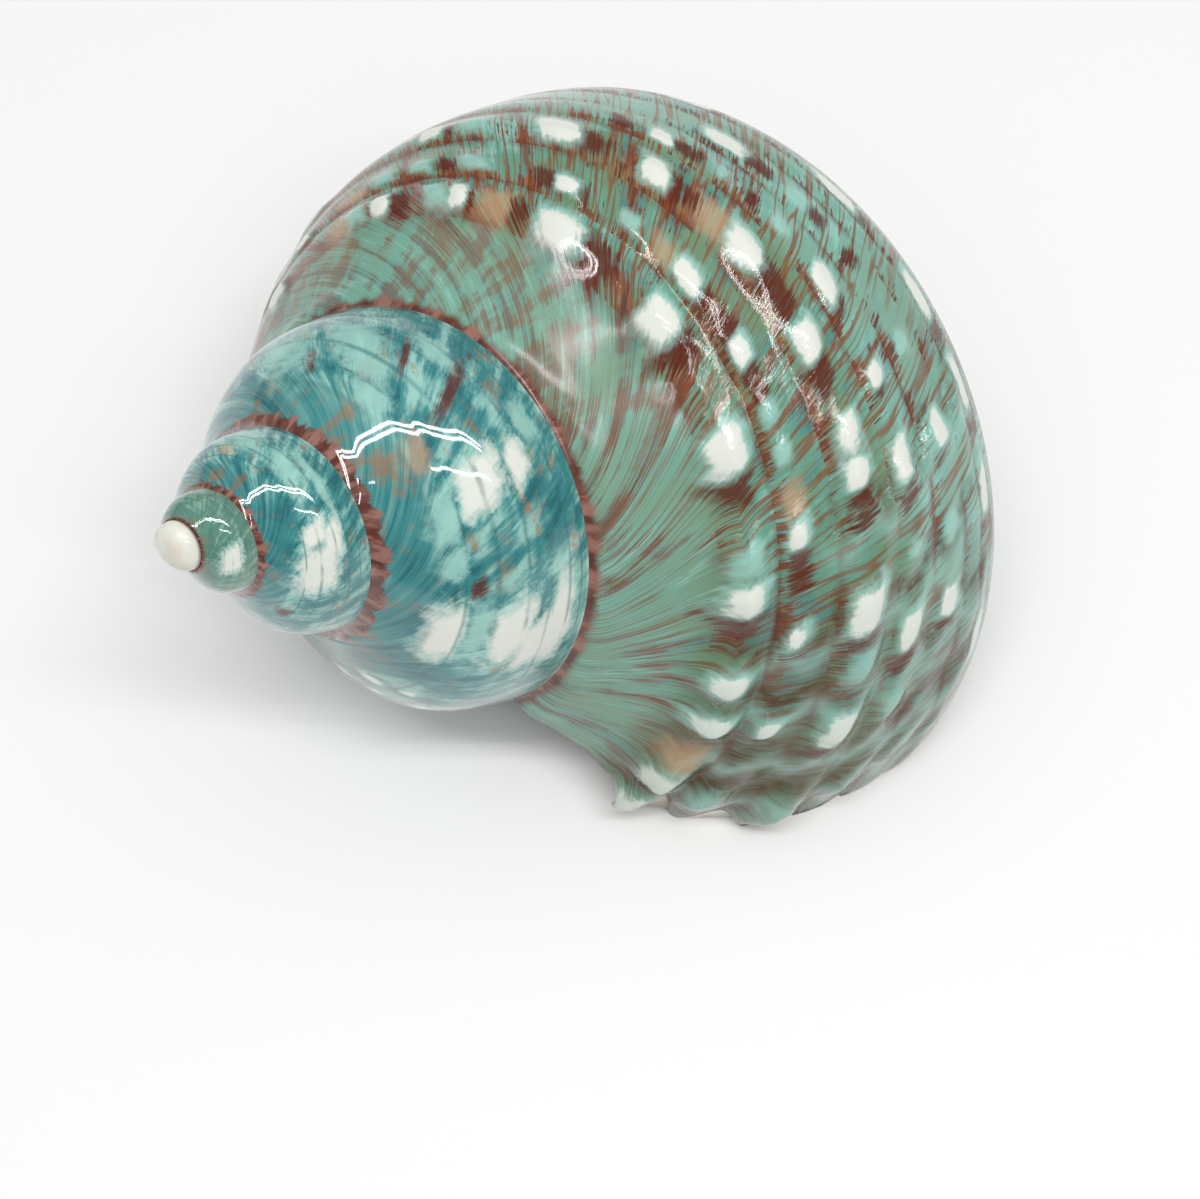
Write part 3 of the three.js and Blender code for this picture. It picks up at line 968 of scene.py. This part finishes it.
def lay_grooves(finish, settings, at, paint):
    """The paint with broken dark lines along the grooves: teal on the spire, maroon on the last whorl."""
    line = (1 - at.from_groove.smooth(0.01, 0.14)) * at.rows
    teal = line * at.spire * (at.patch * 0.5 + at.cloud * 0.5).smooth(-0.1, 0.1)
    maroon = line * (1 - at.spire) * at.patch.smooth(-0.08, 0.1)
    paint = finish.mix(paint, settings.deep_teal, teal * 0.6)
    return finish.mix(paint, settings.maroon, maroon * 0.45)


def lay_suture(finish, settings, at, paint):
    """The paint with the red cord along the suture on it, scalloped on the spire and worn pink in places."""
    scallop = abs((at.turn * (math.pi / CRENULATION_TURNS) + at.cloud * 5).math("SINE"))
    band = 0.07 + at.spire * (0.1 + scallop * 0.07) + at.warp * (0.12 + at.spire * 0.2)
    red = (scallop * 0.5 + at.stria * 0.5).smooth(0.05, 0.45)
    worn = (at.warp + scallop * 0.15).smooth(0.05, 0.25)
    cord = finish.mix(settings.maroon, settings.suture_red, red)
    cord = finish.mix(cord, settings.suture_pink, worn * 0.7)
    return finish.mix(paint, cord, (band - at.g).smooth(-0.03, 0.04) * 0.95)


def outside_finish(settings):
    """Polished colours laid down along growth lines and girdle rows."""
    finish = Finish("polished_shell")
    at = Growth(finish)
    paint = finish.mix(whorl_paint(finish, settings, at), spire_paint(finish, settings, at), at.spire)
    for lay in (lay_rests_and_painted_light, lay_marks, lay_grooves, lay_suture):
        paint = lay(finish, settings, at, paint)

    # The ramp of the last whorl is duller than its rows, where ripples stand up along the growth lines.
    ramp = at.shoulder * (1 - at.spire)
    lines = at.stria * 0.7 + at.streak * 0.6 + 0.65
    ripple = at.streak * 0.04 + lines * (0.2 + at.rows * 0.8) * (1 - at.spire)
    finish.shade(
        Base_Color=paint,
        Roughness=settings.polish + ramp * 0.15,
        Specular_IOR_Level=0.5,
        Coat_Weight=0.2 - ramp * 0.2 + at.spire * 0.5,
        Coat_Roughness=COAT_ROUGHNESS,
        Normal=finish.bump(ripple, RIPPLE_DEPTH),
    )
    return finish.material


def plain_finish(name, under, over, grain, roughness, coat):
    """Two close colours clouded together, for the small plain areas."""
    finish = Finish(name)
    place = finish.node("ShaderNodeTexCoord", output="Object")
    cloud = finish.node("ShaderNodeTexNoise", inputs={"Vector": place, "Scale": grain, "Detail": 3.0})
    finish.shade(
        Base_Color=finish.mix(under, over, cloud.smooth(0.35, 0.65)),
        Roughness=roughness,
        Coat_Weight=coat,
        Coat_Roughness=COAT_ROUGHNESS,
    )
    return finish.material


class OBJECT_OT_turban_shell(bpy.types.Operator):
    """Builds the polished turban shell in place of the plain solid"""

    bl_idname = "object.turban_shell"
    bl_label = "Turban Shell"

    def execute(self, context):
        settings = context.scene.turban_shell
        shell = bpy.data.objects.new("turban_shell", shell_mesh(settings))
        context.scene.collection.objects.link(shell)
        for material in (
            outside_finish(settings),
            plain_finish("worn_tip", settings.tip_cream, settings.white, grain=400, roughness=0.35, coat=0.4),
            plain_finish("lip_edge", settings.amber, settings.white, grain=160, roughness=0.3, coat=0.5),
            plain_finish("nacre", settings.nacre, settings.nacre_sheen, grain=60, roughness=0.18, coat=0.8),
        ):
            shell.data.materials.append(material)
        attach(shell, "root")
        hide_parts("shell")
        return {"FINISHED"}


class SCENE_OT_turban_stage(bpy.types.Operator):
    """Lays the pale table and sets the ceiling tubes and the camera"""

    bl_idname = "scene.turban_stage"
    bl_label = "Table, Light and Camera"

    def execute(self, context):
        settings = context.scene.turban_stage
        self.table(context, settings)
        self.light(context, settings)
        self.camera(context, settings)
        return {"FINISHED"}

    def table(self, context, settings):
        mesh = bpy.data.meshes.new("table")
        corners = [(x * TABLE_HALF, y * TABLE_HALF, 0) for x, y in ((-1, -1), (1, -1), (1, 1), (-1, 1))]
        mesh.from_pydata(corners, [], [(0, 1, 2, 3)])
        table = bpy.data.objects.new("table", mesh)
        table.location.z = -TABLE_GAP
        context.scene.collection.objects.link(table)
        finish = Finish("table")
        finish.shade(Base_Color=settings.table, Roughness=0.55)
        mesh.materials.append(finish.material)

    def light(self, context, settings):
        world = bpy.data.worlds.new("room")
        world.use_nodes = True
        background = world.node_tree.nodes["Background"]
        background.inputs["Color"].default_value = (1, 1, 1, 1)
        background.inputs["Strength"].default_value = settings.room
        context.scene.world = world
        height = settings.tube_height
        ceiling = bpy.data.lights.new("ceiling", "AREA")
        ceiling.size = height * CEILING_SIZE
        ceiling.energy = settings.ceiling_power
        glow = bpy.data.objects.new("ceiling", ceiling)
        glow.location = (0, 0, height * CEILING_HEIGHT)
        glow.visible_glossy = False
        context.scene.collection.objects.link(glow)
        for number, (slope, start, end) in enumerate(TUBES):
            tube = bpy.data.lights.new(f"tube_{number}", "AREA")
            tube.shape = "RECTANGLE"
            tube.size = height * (end - start)
            tube.size_y = height * TUBE_WIDTH
            tube.energy = settings.tube_power * (end - start)
            lamp = bpy.data.objects.new(tube.name, tube)
            lamp.location = (height * (start + end) / 2, height * slope, height)
            context.scene.collection.objects.link(lamp)

    def camera(self, context, settings):
        eye = bpy.data.cameras.new("camera")
        eye.sensor_width = SENSOR_WIDTH
        eye.lens = settings.lens
        camera = bpy.data.objects.new("camera", eye)
        back = np.array((0, -math.sin(settings.tilt), math.cos(settings.tilt)))
        camera.location = CAMERA_AIM + back * settings.distance
        camera.rotation_euler = (settings.tilt, 0, 0)
        context.scene.collection.objects.link(camera)
        context.scene.camera = camera
        context.scene.view_settings.view_transform = "Standard"


class VIEW3D_PT_turban_shell(bpy.types.Panel):
    """Lists the shell's settings and the two builders"""

    bl_idname = "VIEW3D_PT_turban_shell"
    bl_label = "Turban Shell"
    bl_space_type = "VIEW_3D"
    bl_region_type = "UI"
    bl_category = "Shell"

    def draw(self, context):
        for settings, operator in (
            (context.scene.turban_shell, OBJECT_OT_turban_shell),
            (context.scene.turban_stage, SCENE_OT_turban_stage),
        ):
            column = self.layout.column()
            for name in settings.__annotations__:
                column.prop(settings, name)
            column.operator(operator.bl_idname)


CLASSES = (
    ShellSettings,
    StageSettings,
    OBJECT_OT_turban_shell,
    SCENE_OT_turban_stage,
    VIEW3D_PT_turban_shell,
)


def register():
    for cls in CLASSES:
        bpy.utils.register_class(cls)
    bpy.types.Scene.turban_shell = bpy.props.PointerProperty(type=ShellSettings)
    bpy.types.Scene.turban_stage = bpy.props.PointerProperty(type=StageSettings)


def unregister():
    del bpy.types.Scene.turban_stage
    del bpy.types.Scene.turban_shell
    for cls in reversed(CLASSES):
        bpy.utils.unregister_class(cls)


def main():
    register()
    bpy.ops.object.turban_shell()
    bpy.ops.scene.turban_stage()


if __name__ == "__main__":
    main()
